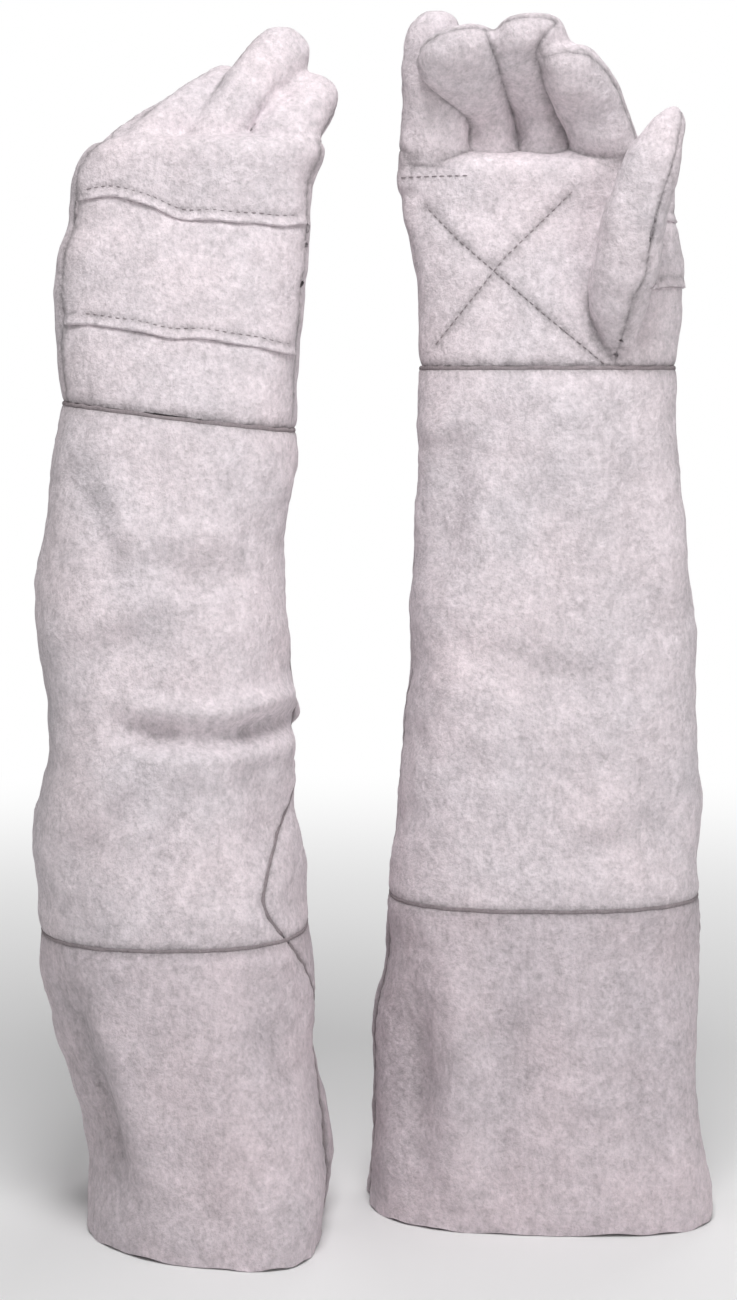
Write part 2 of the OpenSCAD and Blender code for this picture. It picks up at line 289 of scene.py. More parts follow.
# Shift from the hinge, lean, pitch, swing of the bend, stretch that bends, length, half widths
# and half depths from base to tip, height of the base seam and twist of the side seams
DIGIT_SHAPES = {
    "right": (
        ("little", (4, 0, -14), (0, -2), (2, 22), 0, (30, 91), 92, (20, 19.5, 17, 15.5, 15),
         (15, 15, 15, 14), 12, 0.1),
        ("ring", (0, -3, -14), (-6, -22), (-4, 56), -10, (32, 50), 104, (15, 14, 14.5, 20, 22, 21),
         (14, 12, 14, 14, 12.5, 11), 14, 0.1),
        ("middle", (-2, -2, -14), (-4, -17), (-4, 54), -6, (34, 52), 106,
         (15, 14, 15, 20, 22, 21), (14, 12, 14, 14, 12.5, 11), 14, 0.1),
        ("index", (1, 2, -18), (-4, -42), (8, 60), -14, (22, 90), 94, (17, 17.5, 17.5, 15.5, 12.5),
         (15.5, 15.5, 14.5, 13), 16, 0.45),
        ("thumb", (-9, -8, -32), (-2, 28), (24, -4), 0, (36, 124), 126, (10, 17, 16.5, 14, 10),
         (11, 15, 15, 13, 10), 34, 1.5),
    ),
    "left": (
        ("little", (-8, -4, -14), (42, 54), (10, 74), 0, (8, 88), 92, (14, 13.5, 13, 12),
         (14, 14, 13), 22, 0.1),
        ("ring", (-26, -1, -10), (42, 52), (4, 52), 0, (20, 92), 92, (14.5, 14, 12.5, 12.5),
         (15, 15, 14), 22, 0.1),
        ("middle", (-21, 0, -10), (32, 42), (2, 34), 0, (20, 100), 102, (15, 13.5, 13, 16, 17),
         (15, 15, 14.5, 15), 22, 0.1),
        ("index", (-10, 0, -10), (20, 38), (4, 56), 0, (18, 70), 71, (18, 17, 14.5, 13.5),
         (15, 15, 14), 22, -0.1),
        ("thumb", (-4, -10, -30), (4, 12), (26, 4), 0, (30, 120), 124, (11, 17, 16, 14, 12),
         (12, 15, 15, 13, 12), 32, 0.4),
    ),
}
# The hand's soft crown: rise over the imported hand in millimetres, lean to the thumb side and
# tilt, which makes its back higher than its palm
CROWN = {"right": (18, -0.05, 0.15), "left": (23, 0.5, 0.2)}
# How far below its rise the crown ends against the digits, in millimetres
CROWN_DOME = 5


def digits_of(glove):
    """The digits of one glove in its resting pose"""
    return [Digit(glove, *row) for row in DIGIT_SHAPES[glove.side]]


# ---- mesh helpers ----------------------------------------------------------

def deselect():
    for o in bpy.context.selected_objects:
        o.select_set(False)


def only(obj):
    """Makes obj the one selected and active object"""
    deselect()
    obj.select_set(True)
    bpy.context.view_layer.objects.active = obj


def new_object(name, points, faces):
    mesh = bpy.data.meshes.new(name)
    mesh.from_pydata([tuple(p) for p in points], [], faces)
    mesh.update()
    obj = bpy.data.objects.new(name, mesh)
    bpy.context.scene.collection.objects.link(obj)
    return obj


def apply_modifier(obj, kind, **values):
    only(obj)
    mod = obj.modifiers.new(kind.lower(), kind)
    for key, value in values.items():
        setattr(mod, key, value)
    bpy.ops.object.modifier_apply(modifier=mod.name)


def tube_faces(rows, cols, start=0, caps=True):
    """Faces of a closed tube of rings, with its ends shut"""
    faces = []
    for i in range(rows - 1):
        for j in range(cols):
            a, b = start + i * cols + j, start + i * cols + (j + 1) % cols
            faces.append((a, b, b + cols, a + cols))
    if caps:
        faces.append(tuple(start + j for j in reversed(range(cols))))
        faces.append(tuple(start + (rows - 1) * cols + j for j in range(cols)))
    return faces


def superellipse(angles, half_w, half_d, power=SQUARENESS):
    c, n = np.cos(angles), np.sin(angles)
    return (np.sign(c) * np.abs(c) ** (2 / power) * half_w,
            np.sign(n) * np.abs(n) ** (2 / power) * half_d)


def coordinates(obj):
    co = np.empty(len(obj.data.vertices) * 3)
    obj.data.vertices.foreach_get("co", co)
    return co.reshape(-1, 3)


def set_coordinates(obj, co):
    obj.data.vertices.foreach_set("co", np.ascontiguousarray(co, float).ravel())
    obj.data.update()


def normals(obj):
    n = np.empty(len(obj.data.vertices) * 3, np.float32)
    obj.data.vertices.foreach_get("normal", n)
    return n.reshape(-1, 3).astype(float)


def relax(co, edges, rounds, strength=0.5):
    """Smooths points towards the mean of their neighbours"""
    a, b = edges[:, 0], edges[:, 1]
    count = np.bincount(a, minlength=len(co)) + np.bincount(b, minlength=len(co))
    for _ in range(rounds):
        total = np.stack([np.bincount(a, co[b, k], len(co)) + np.bincount(b, co[a, k], len(co))
                          for k in range(3)], 1)
        co = co + (total / count[:, None] - co) * strength
    return co


def edges_of(obj):
    e = np.empty(len(obj.data.edges) * 2, np.int32)
    obj.data.edges.foreach_get("vertices", e)
    return e.reshape(-1, 2)


def waves(points, scale, seed):
    """Smooth noise from -1 to 1 at each point"""
    offset = Vector((seed * 7.31, seed * 3.17, seed * 5.03))
    return np.array([noise.noise(Vector(p) / scale + offset) for p in points])


def smoothstep(x):
    t = np.clip(x, 0, 1)
    return t * t * (3 - 2 * t)


def groove(distance, reach):
    """Depth of a seam's dip at a distance from the seam, from 0 to 1"""
    return np.exp(-np.abs(distance) / reach)


def finish_piece(obj, thickness, angle=40):
    """Gives a leather or felt piece its thickness, inwards, and its soft shading"""
    apply_modifier(obj, "SOLIDIFY", thickness=thickness, offset=-1, use_even_offset=False,
                   use_rim=True)
    only(obj)
    bpy.ops.object.shade_smooth_by_angle(angle=math.radians(angle))
    deselect()


# ---- cutting leather along seams -------------------------------------------

SNAP = 0.2 * MM


def cut(bm, field):
    """Cuts the faces of the mesh along the line where field is zero"""
    bm.verts.index_update()
    value = field(np.array([v.co for v in bm.verts]))
    value[np.abs(value) < SNAP] = 0
    values = {v: value[v.index] for v in bm.verts}
    crossing = [e for e in bm.edges
                if values[e.verts[0]] * values[e.verts[1]] < 0]
    for edge in crossing:
        a, b = edge.verts
        share = values[a] / (values[a] - values[b])
        _, vert = bmesh.utils.edge_split(edge, a, share)
        values[vert] = 0.0
    line = [v for v, x in values.items() if x == 0]
    bmesh.ops.connect_verts(bm, verts=line)


def place(obj, glove):
    """Moves a mesh from the glove's own axes into the frame, with its faces outwards"""
    set_coordinates(obj, glove.world(coordinates(obj)))
    if glove.palm_sign < 0:
        obj.data.flip_normals()


def keep_value(obj, name, values):
    """Stores one number per corner for a material to read"""
    layer = obj.data.attributes.new(name, "FLOAT", "POINT")
    layer.data.foreach_set("value", np.asarray(values, np.float32))


def faces_outward(obj):
    """Turns all faces of closed tubes outwards"""
    only(obj)
    bpy.ops.object.mode_set(mode="EDIT")
    bpy.ops.mesh.select_all(action="SELECT")
    bpy.ops.mesh.normals_make_consistent(inside=False)
    bpy.ops.object.mode_set(mode="OBJECT")


def finish_tubes(obj, glove):
    """Brings closed tubes of thread or folded leather into the frame and smooths their shading"""
    faces_outward(obj)
    place(obj, glove)
    only(obj)
    bpy.ops.object.shade_smooth()
    deselect()
    return obj


def thread_piece(name, glove, rows, surfaces, settings):
    """Sews rows of stitches along lines on the palm (1) or back (-1). A row is (points, side)."""
    profile = ((0, 0.15), (0.12, 0.8), (0.5, 1), (0.88, 0.8), (1, 0.15))
    sides = 6
    points, faces = [], []
    for line, look in rows:
        line = np.array(line) * MM
        lengths = np.concatenate([[0], np.cumsum(np.linalg.norm(np.diff(line, axis=0), axis=1))])
        for at in np.arange(settings.pitch / 2, lengths[-1] - settings.length, settings.pitch):
            ends = []
            for s in (at, at + settings.length):
                x, z = [np.interp(s, lengths, line[:, k]) for k in (0, 1)]
                hit = surfaces[look].ray_cast(Vector((x, look * 0.3, z)), Vector((0, -look, 0)))
                ends.append(hit[:2])
            if ends[0][0] is None or ends[1][0] is None:
                continue
            a, b = np.array(ends[0][0]), np.array(ends[1][0])
            if np.linalg.norm(b - a) > 2.5 * settings.length:
                continue
            along = (b - a) / np.linalg.norm(b - a)
            out = np.array(ends[0][1]) + np.array(ends[1][1])
            out -= along * (out @ along)
            out /= np.linalg.norm(out)
            across = np.cross(along, out)
            first = len(points)
            r = settings.thread / 2
            for share, size in profile:
                lift = r * (0.9 * math.sin(math.pi * share) - 0.1)
                c = a + (b - a) * share + out * lift
                for k in range(sides):
                    t = 2 * math.pi * k / sides
                    points.append(c + (across * math.cos(t) + out * math.sin(t)) * r * size)
            faces += tube_faces(len(profile), sides, first)
    return finish_tubes(new_object(name, points, faces), glove)


# ---- sleeves ---------------------------------------------------------------

# Folds of the side that faces the front: ends x and z, depth and half width, in millimetres
FOLDS = {
    "right": (
        (-46, 404, -52, 352, 3.6, 9), (-16, 430, -46, 398, 2.6, 8), (36, 420, 56, 320, 3.6, 11),
        (-70, 140, -66, 12, 7, 13), (-30, 300, 34, 282, 2.8, 12), (50, 250, 66, 190, 3.2, 11),
        (-36, 244, -70, 210, 3, 9), (10, 196, 62, 214, 2.2, 9), (-10, 120, -24, 20, 2.6, 14),
        (44, 110, 58, 24, 3, 11),
    ),
    "left": (
        (-38, 268, 8, 263, 7, 6.5), (8, 263, 50, 268, 8, 6.5), (-20, 240, -66, 196, 4.2, 7),
        (-2, 238, -30, 170, 3.4, 8), (26, 250, 40, 214, 3.6, 8), (-58, 300, -20, 318, 3.4, 8),
        (-30, 352, 22, 340, 3, 9), (-60, 392, -36, 340, 3, 8), (24, 392, 38, 330, 2.4, 9),
        (-66, 124, -40, 30, 6, 10), (20, 150, 46, 96, 3, 10), (-10, 90, 10, 14, 2.6, 13),
    ),
}
# How far the thumb-side seam swings to the back: degrees, and height and reach in millimetres
SEAM_SWING = {"right": (0, 180, 38), "left": (-48, 180, 38)}
# Half the slit between the two panels at a side seam, in radians
SEAM_SLIT = 0.007
# A welt's half thickness, half width, and how deep its middle lies under the leather's face
WELT_HALF_THICKNESS = 0.9 * MM
WELT_HALF_WIDTH = 1.2 * MM
WELT_SUNK = 1.5 * MM
# Share of a sleeve length at which its side welts stop. The lining stops there at the wrist.
SEAM_STOP = 0.985
# Slant of the open end: how much it deepens towards the thumb side, and up to what height
HEM_SLANT = {"right": -0.08, "left": 0.36}
HEM_SLANT_TOP = 170 * MM
SHOWN_SIDE = {"right": 1, "left": -1}


class SleeveSurface:
    """The outer skin of a sleeve, with its folds. Angle 0 is the thumb side, 90 the palm."""

    def __init__(self, glove):
        self.glove = glove
        self.side = glove.side
        self.lines = (np.array((0.0, 0.0)), glove.sleeve_seam, glove.wrist_seam)

    def seam_angle(self, z):
        swing, height, reach = SEAM_SWING[self.side]
        return math.radians(swing) * np.exp(-((z / MM - height) / reach) ** 2)

    def heights(self, part, v, x):
        """Height at share v of the lower (0) or upper (1) sleeve, at a place x across"""
        low, high = [np.polyval(self.lines[part + k], x) for k in (0, 1)]
        return low + (high - low) * v

    def base(self, part, angle, v, inset=0.0):
        x = np.zeros_like(v)
        for _ in range(3):
            z = self.heights(part, v, x)
            centre, half_w, half_d = self.glove.station(z)
            power = SQUARENESS + 0.5 * smoothstep(1 - z / HEM_SLANT_TOP)
            c, n = np.cos(angle), np.sin(angle)
            x = centre + np.sign(c) * np.abs(c) ** (2 / power) * (half_w - inset)
        y = np.sign(n) * np.abs(n) ** (2 / power) * (half_d - inset)
        y = y - (x - centre) * HEM_SLANT[self.side] * smoothstep(1 - z / HEM_SLANT_TOP)
        return np.stack([x, y, z], -1)

    def cut_size(self, angles, low_part, high_part, inset=0.0):
        """Mean girth between two angles and the height, as cut: with no folds in it"""
        angle = np.linspace(*angles, 240)
        girths = []
        for part in range(low_part, high_part + 1):
            for share in np.linspace(0, 1, 12):
                p = self.base(part, angle, np.full_like(angle, share), inset)
                girths.append(np.linalg.norm(np.diff(p, axis=0), axis=1).sum())
        low, high = self.lines[low_part][1], self.lines[high_part + 1][1]
        return float(np.mean(girths)), float(high - low)

    def fold_height(self, p):
        """How far the folds lift or sink the leather at points p"""
        shown = SHOWN_SIDE[self.side]
        total = np.zeros(len(p))
        for x0, z0, x1, z1, depth, width in FOLDS[self.side]:
            for facing, dx, dz in ((shown, 0, 0), (-shown, 9, -13)):
                a = np.array((x0 + dx, z0 + dz)) * MM
                b = np.array((x1 + dx, z1 + dz)) * MM
                q = p[:, (0, 2)] - a
                d = b - a
                t = np.clip(q @ d / (d @ d), 0, 1)
                away = q - np.outer(t, d)
                side = np.sign(away[:, 1] + 1e-9)
                r = np.linalg.norm(away, axis=1) / (width * MM)
                fade = smoothstep(0.35 + facing * p[:, 1] / (26 * MM))
                ends = 0.35 + 0.65 * np.sin(math.pi * t) ** 0.7
                lift = -np.exp(-r ** 2) + (0.42 + 0.16 * side) * np.exp(-((r - 1.9) / 0.95) ** 2)
                total += depth * MM * lift * fade * ends
        return total

    def point(self, part, angle, v, inset=0.0, waviness=0.0):
        """Points of the skin, and how deep each lies in a fold"""
        shape = angle.shape
        angle, v = angle.ravel(), v.ravel()
        p = self.base(part, angle, v, inset)
        step = 0.01
        along = self.base(part, angle + step, v) - self.base(part, angle - step, v)
        up = self.base(part, angle, np.clip(v + step, 0, 1)) \
            - self.base(part, angle, np.clip(v - step, 0, 1))
        normal = np.cross(along, up)
        normal /= np.linalg.norm(normal, axis=1)[:, None]
        lift = self.fold_height(p)
        if waviness:
            seed = 1 + SIDES.index(self.side) * 4
            stretched = p * (0.55, 0.55, 1)
            lift = lift + waviness * (
                4.2 * waves(p, 0.06, seed) + 1.5 * waves(stretched, 0.024, seed + 1)
                + 0.7 * waves(p, 0.011, seed + 2))
        hold = np.where(v > 0.5, 1 - v, v if part else 1.0)
        lift = lift * smoothstep(0.12 + hold / 0.08)
        return (p + normal * lift[:, None]).reshape(*shape, 3), lift.reshape(shape), \
            normal.reshape(*shape, 3)


def grid_faces(rows, cols):
    return [(i * cols + j, i * cols + j + 1, (i + 1) * cols + j + 1, (i + 1) * cols + j)
            for i in range(rows - 1) for j in range(cols - 1)]


def sleeve_panel(surface, part, facing, rows, cols, settings):
    """One leather panel of a sleeve, from side seam to side seam"""
    share, v = np.meshgrid(np.linspace(0, 1, cols), np.linspace(0, 1, rows))
    z = surface.heights(part, v, 0 * v)
    swing = surface.seam_angle(z)
    palm = facing == "palm"
    start = swing + SEAM_SLIT if palm else math.pi + SEAM_SLIT
    end = math.pi - SEAM_SLIT + 0 * swing if palm else 2 * math.pi + swing - SEAM_SLIT
    angle = start + (end - start) * share
    p, lift, normal = surface.point(part, angle, v, 0, settings.waviness)
    foot = surface.glove.sleeve_seam[1] if part else 0
    head = (surface.glove.wrist_seam if part else surface.glove.sleeve_seam)[1]
    mean_radius = 70 * MM
    seam = np.minimum(share, 1 - share) * ((end - start) * mean_radius)
    dip = groove(seam, settings.seam_reach)
    dip = np.maximum(dip, groove((1 - v) * (head - foot), settings.seam_reach))
    if part:
        dip = np.maximum(dip, groove(v * (head - foot), settings.seam_reach))
    pucker = 0.35 * MM * np.sin(z / (9 * MM) * 2 * math.pi + 2 * np.sin(z / 0.021)) \
        * np.exp(-seam / (6 * MM))
    p = p - normal * (dip * settings.seam_depth + pucker)[..., None]
    if not part:
        p[0, :, 2] += 0.9 * MM * (1 + np.sin(angle[0] * 5 + 1) * np.sin(angle[0] * 11))
    name = f"{surface.side}_{'upper' if part else 'lower'}_sleeve_{facing}_leather"
    obj = new_object(name, p.reshape(-1, 3), grid_faces(rows, cols))
    # Painted shade: the dip attribute is high in the seam dips and fold hollows and lower on the fold
    # crests
    keep_value(obj, "dip", (dip - np.clip(lift / (8 * MM), -1, 1) * 0.4).ravel())
    place(obj, surface.glove)
    finish_piece(obj, settings.leather)
    return obj


def welt_roll(name, glove, paths, closed):
    """A soft roll of folded leather along paths of (points, outward normals)"""
    sides = 10
    points, faces = [], []
    for centre, normal in paths:
        tangent = np.roll(centre, -1, 0) - np.roll(centre, 1, 0)
        if not closed:
            tangent[0], tangent[-1] = centre[1] - centre[0], centre[-1] - centre[-2]
        tangent /= np.linalg.norm(tangent, axis=1)[:, None]
        across = np.cross(tangent, normal)
        first = len(points)
        n = len(centre)
        for i in range(n):
            for k in range(sides):
                t = 2 * math.pi * k / sides
                points.append(centre[i] - normal[i] * WELT_SUNK
                              + normal[i] * math.cos(t) * WELT_HALF_THICKNESS
                              + across[i] * math.sin(t) * WELT_HALF_WIDTH)
        faces += tube_faces(n, sides, first, caps=not closed)
        if closed:
            last = first + (n - 1) * sides
            faces += [(last + j, last + (j + 1) % sides, first + (j + 1) % sides, first + j)
                      for j in range(sides)]
    return finish_tubes(new_object(name, points, faces), glove)


def ring_welt(surface, part, name, waviness):
    """The welt that runs round the glove at the top of a sleeve part"""
    angle = np.linspace(0, 2 * math.pi, 220, endpoint=False)
    p, _, normal = surface.point(part, angle, np.ones_like(angle), 0, waviness)
    p[:, 2] += 0.2 * MM * np.sin(angle * 23 + 2 * np.sin(angle * 5))
    return welt_roll(f"{surface.side}_{name}", surface.glove, [(p, normal)], True)


def side_welts(surface, waviness):
    """The welts in the seams along both sides of a sleeve"""
    paths = []
    for part in (0, 1):
        v = np.linspace(0.012, SEAM_STOP, 110)
        z = surface.heights(part, v, 0 * v)
        for angle in (surface.seam_angle(z), math.pi + 0 * v):
            p, _, normal = surface.point(part, angle, v, 0, waviness)
            paths.append((p, normal))
    return welt_roll(f"{surface.side}_side_seam_welts_rolled", surface.glove, paths, False)


def lining_inset(settings):
    """How deep the sleeve's felt lies under the leather's face, clear of the seams"""
    return settings.leather + settings.seam_depth + settings.felt_gap


def sleeve_lining(surface, settings):
    """The felt tube inside the sleeve, from just above the open end to the wrist"""
    rows, cols = 90, 96
    angle = np.linspace(0, 2 * math.pi, cols, endpoint=False)
    rings = []
    lining_start = 4 * MM / surface.glove.sleeve_seam[1]
    inset = lining_inset(settings)
    for k in range(rows):
        h = k / (rows - 1) * 2
        part = min(int(h), 1)
        v = max(h - part, lining_start if k == 0 else 0)
        v = min(v, SEAM_STOP if part else 1)
        v = np.full(cols, v)
        rings.append(surface.point(part, angle, v, inset, settings.waviness)[0])
    obj = new_object(f"{surface.side}_sleeve_felt", np.concatenate(rings),
                     tube_faces(rows, cols, caps=False))
    place(obj, surface.glove)
    finish_piece(obj, settings.felt, 60)
    return obj


# ---- hands -----------------------------------------------------------------

# The thumb seam of the shown palm: places x at two heights z, in millimetres
THUMB_SEAM = {"right": ((447, 34), (555, 56)), "left": ((420, 70), (540, 80))}
# Lower edge of the finger-back piece in millimetres: height in its middle, change to the thumb
# side, place x of the change and its reach
KNUCKLE_LIP = {"right": (527, -5, -14, 20), "left": (526.5, -6.5, -18, 16)}
# Lower edge of the patch: height in millimetres and slope
PATCH_LIP = {"right": (487, 0.02), "left": (461.5, -0.13)}
# The plain leather under the back pieces: its thickness and how deep it lies
UNDER_LEATHER = 1.2 * MM
UNDER_DEPTH = 2.6 * MM
# Quilting lines of the palm as x, z
QUILTING = {
    "right": (((14, 538), (-22, 503), (-57, 459)), ((-62, 530), (-45, 512), (-4, 476), (29, 449))),
    "left": (((14, 520), (-22, 488), (-50, 452)), ((-54, 514), (-40, 500), (-4, 464), (20, 441))),
}


class HandShape:
    """Where the seams of a hand run, in the glove's own axes"""

    def __init__(self, glove):
        self.glove = glove
        self.side = glove.side
        self.digits = digits_of(glove)
        self.top = glove.top

    def hand_distance(self, p):
        """Distance outside the hand, without its digits"""
        centre, half_w, half_d = self.glove.station(p[:, 2])
        rise, lean, tilt = CROWN[self.side]
        centre = centre + lean * np.clip(p[:, 2] - self.top, 0, rise * MM)
        x, y = (p[:, 0] - centre) / half_w, p[:, 1] / half_d
        ring = (np.abs(x) ** SQUARENESS + np.abs(y) ** SQUARENESS) ** (1 / SQUARENESS)
        out = (ring - 1) * np.minimum(half_w, half_d)
        return np.maximum(out, p[:, 2] + tilt * p[:, 1] - self.top - (rise - CROWN_DOME) * MM)

    def shares(self, p):
        """Distances to the hand and digits, heights above the base seams, palm offsets"""
        rows = [d.measure(p) for d in self.digits]
        distance = np.array([self.hand_distance(p)] + [r[0] for r in rows])
        above = np.array([r[1] for r in rows])
        offset = np.array([r[2] for r in rows])
        return distance, above, offset

    def digit_field(self, index):
        """Above zero on one digit, below zero on everything else"""
        def field(p):
            distance, above, _ = self.shares(p)
            own = distance[index + 1]
            others = np.delete(distance, index + 1, 0).min(0)
            return np.minimum(above[index], others - own)
        return field

    def side_seam(self, p):
        """Above zero on the palm side, below zero on the back"""
        x, y, z = p.T
        (z0, x0), (z1, x1) = THUMB_SEAM[self.side]
        line = np.interp(z / MM, (z0, z1), (x0, x1)) * MM
        half_d = self.glove.station(z)[2]
        back = y + half_d * (0.26 + 0.2 * smoothstep((-x - 25 * MM) / (25 * MM)))
        hand = np.minimum(back, line - x)
        distance, above, offset = self.shares(p)
        grip = np.exp(-(distance - distance.min(0)) / (1.2 * MM))
        rise = smoothstep(above / (14 * MM) + 0.25)
        value = hand * (grip[0] + (grip[1:] * (1 - rise)).sum(0))
        value = value + (grip[1:] * rise * (offset + 2 * MM)).sum(0)
        return value / grip.sum(0)

    def wrist(self, p):
        """Height above the wrist seam"""
        return p[:, 2] - np.polyval(self.glove.wrist_seam, p[:, 0]) - 1.3 * MM

    def knuckle_lip(self, p):
        z, drop, x, reach = KNUCKLE_LIP[self.side]
        px = p[:, 0] / MM
        line = z + drop * np.tanh((px - x) / reach) + 0.8 * np.sin(px / 8.3) + 0.4 * np.sin(px / 4.1)
        return p[:, 2] - line * MM

    def patch_lip(self, p):
        z, slope = PATCH_LIP[self.side]
        px = p[:, 0] / MM
        line = z + slope * px + 0.8 * np.sin(px / 9.2) + 0.4 * np.sin(px / 4.7 + 1)
        return p[:, 2] - line * MM

    def on_back(self, line):
        """The same line, on the back of the hand only"""
        return lambda p: np.where(self.side_seam(p) < SNAP, line(p), 1)

    def quilting_distance(self, p):
        """Distance from the quilting lines of the palm"""
        best = np.full(len(p), np.inf)
        for line in QUILTING[self.side]:
            for a, b in zip(line[:-1], line[1:]):
                a, b = np.array(a) * MM, np.array(b) * MM
                q = p[:, (0, 2)] - a
                d = b - a
                t = np.clip(q @ d / (d @ d), 0, 1)
                best = np.minimum(best, np.linalg.norm(q - np.outer(t, d), axis=1))
        return best


def hand_rings(shape, inset):
    """Rings of the hand from just below the wrist seam to its domed top"""
    glove = shape.glove
    slope, low = glove.wrist_seam
    top = shape.top
    rise, lean, tilt = CROWN[shape.side]
    rise = rise * MM
    angles = np.linspace(0, 2 * math.pi, 72, endpoint=False)
    rings = []
    for share in np.linspace(0, 1, 56):
        level = low - 10 * MM + (top + rise - inset - low + 10 * MM) * share
        over = np.clip((level + inset - top - rise + 14 * MM) / (14 * MM), 0, 1)
        x = np.zeros_like(angles)
        for _ in range(3):
            z = level + slope * (1 - share) * x
            centre, w, d = glove.station(z)
            centre = centre + lean * np.maximum(level - top, 0)
            shrink = math.sqrt(max(1 - over ** 2, 0.02))
            ex, ey = superellipse(angles, w - inset - (1 - shrink) * 8 * MM,
                                  (d - inset) * shrink)
            x = centre + ex
        z = z - tilt * ey * smoothstep((level - top + 30 * MM) / (30 * MM))
        rings.append(np.stack([x, ey, z], 1))
    return rings


def hand_skin(shape, inset, voxel, name):
    """The closed outer shape of a hand with its digits, as one even mesh"""
    points, faces = [], []
    for rings in [hand_rings(shape, inset)] + [d.rings(inset) for d in shape.digits]:
        faces += tube_faces(len(rings), len(rings[0]), sum(map(len, points)))
        points += rings
    obj = new_object(name, np.concatenate(points), faces)
    faces_outward(obj)
    apply_modifier(obj, "REMESH", mode="VOXEL", voxel_size=voxel, adaptivity=0)
    set_coordinates(obj, relax(coordinates(obj), edges_of(obj), 6))
    return obj


def crumple(shape, p, n, side, settings):
    """Waves, puckers and seam dips of the hand's leather, and how deep each corner lies"""
    seed = 11 + 5 * SIDES.index(shape.side)
    distance = shape.shares(p)[0]
    on_hand = distance.argmin(0) == 0
    lift = settings.waviness * np.where(on_hand, 1.0, 1.5) * (
        1.3 * waves(p, 0.034, seed) + 0.8 * waves(p, 0.014, seed + 1)
        + 0.25 * waves(p, 0.006, seed + 2))
    palm = smoothstep(side / (6 * MM) + 0.5)
    side_dip = groove(side, settings.seam_reach)
    dip = np.zeros(len(p))
    for k, digit in enumerate(shape.digits):
        if digit.name == "thumb":
            own, rest = distance[k + 1], np.delete(distance, k + 1, 0).min(0)
            seam = groove(rest - own, 1.6 * settings.seam_reach)
        else:
            seam = groove(shape.digit_field(k)(p), settings.seam_reach)
        dip = np.maximum(dip, seam * palm)
    dip = np.maximum(dip, groove(shape.wrist(p), settings.seam_reach))
    quilt = np.where((side > 6 * MM) & on_hand, groove(shape.quilting_distance(p), 2.6 * MM), 0)
    pucker = 0.2 * MM * np.sin((p[:, 0] + 1.3 * p[:, 2]) / (1.25 * MM)) \
        * np.exp(-np.abs(side) / (2.5 * MM))
    row = np.zeros(len(p))
    for lip in (shape.knuckle_lip(p), shape.patch_lip(p)):
        row = np.maximum(row, np.where((side < 0) & on_hand,
                                       np.exp(-((lip - 5 * MM) / (1.6 * MM)) ** 2), 0))
    lift = lift + pucker - settings.seam_depth * np.maximum(dip, 0.55 * side_dip) \
        - 1.0 * MM * quilt - 0.5 * MM * row
    # The second result is the dip that paints shade into the seam grooves, quilting lines and stitch
    # rows
    return p + n * lift[:, None], np.max((dip, side_dip, quilt * 0.8, row * 0.5), axis=0)


# What a face of a hand belongs to. A digit's own number, 0 to 4, means its palm side, and 5
# more means its back side.
BACK_SIDE = 5
PALM, WRIST, PATCH, KNUCKLES = 10, 11, 12, 13
BELOW = -1


def leather_labels(shape):
    """Sorts places on the leather into its pieces"""
    def label(p):
        back = shape.side_seam(p) < 0
        found = np.where(back, np.where(shape.patch_lip(p) < 0, WRIST,
                                        np.where(shape.knuckle_lip(p) < 0, PATCH, KNUCKLES)), PALM)
        for k in range(len(shape.digits)):
            on = shape.digit_field(k)(p) > 0
            found[on] = np.where(back[on], k + BACK_SIDE, k)
        found[shape.wrist(p) < 0] = BELOW
        return found
    return label


def felt_labels(shape):
    """Sorts places on the felt into the hand's lining and the linings of the digits"""
    def label(p):
        found = np.full(len(p), PALM)
        for k in range(len(shape.digits)):
            found[shape.digit_field(k)(p) > 0] = k
        found[shape.wrist(p) < 0] = BELOW
        return found
    return label


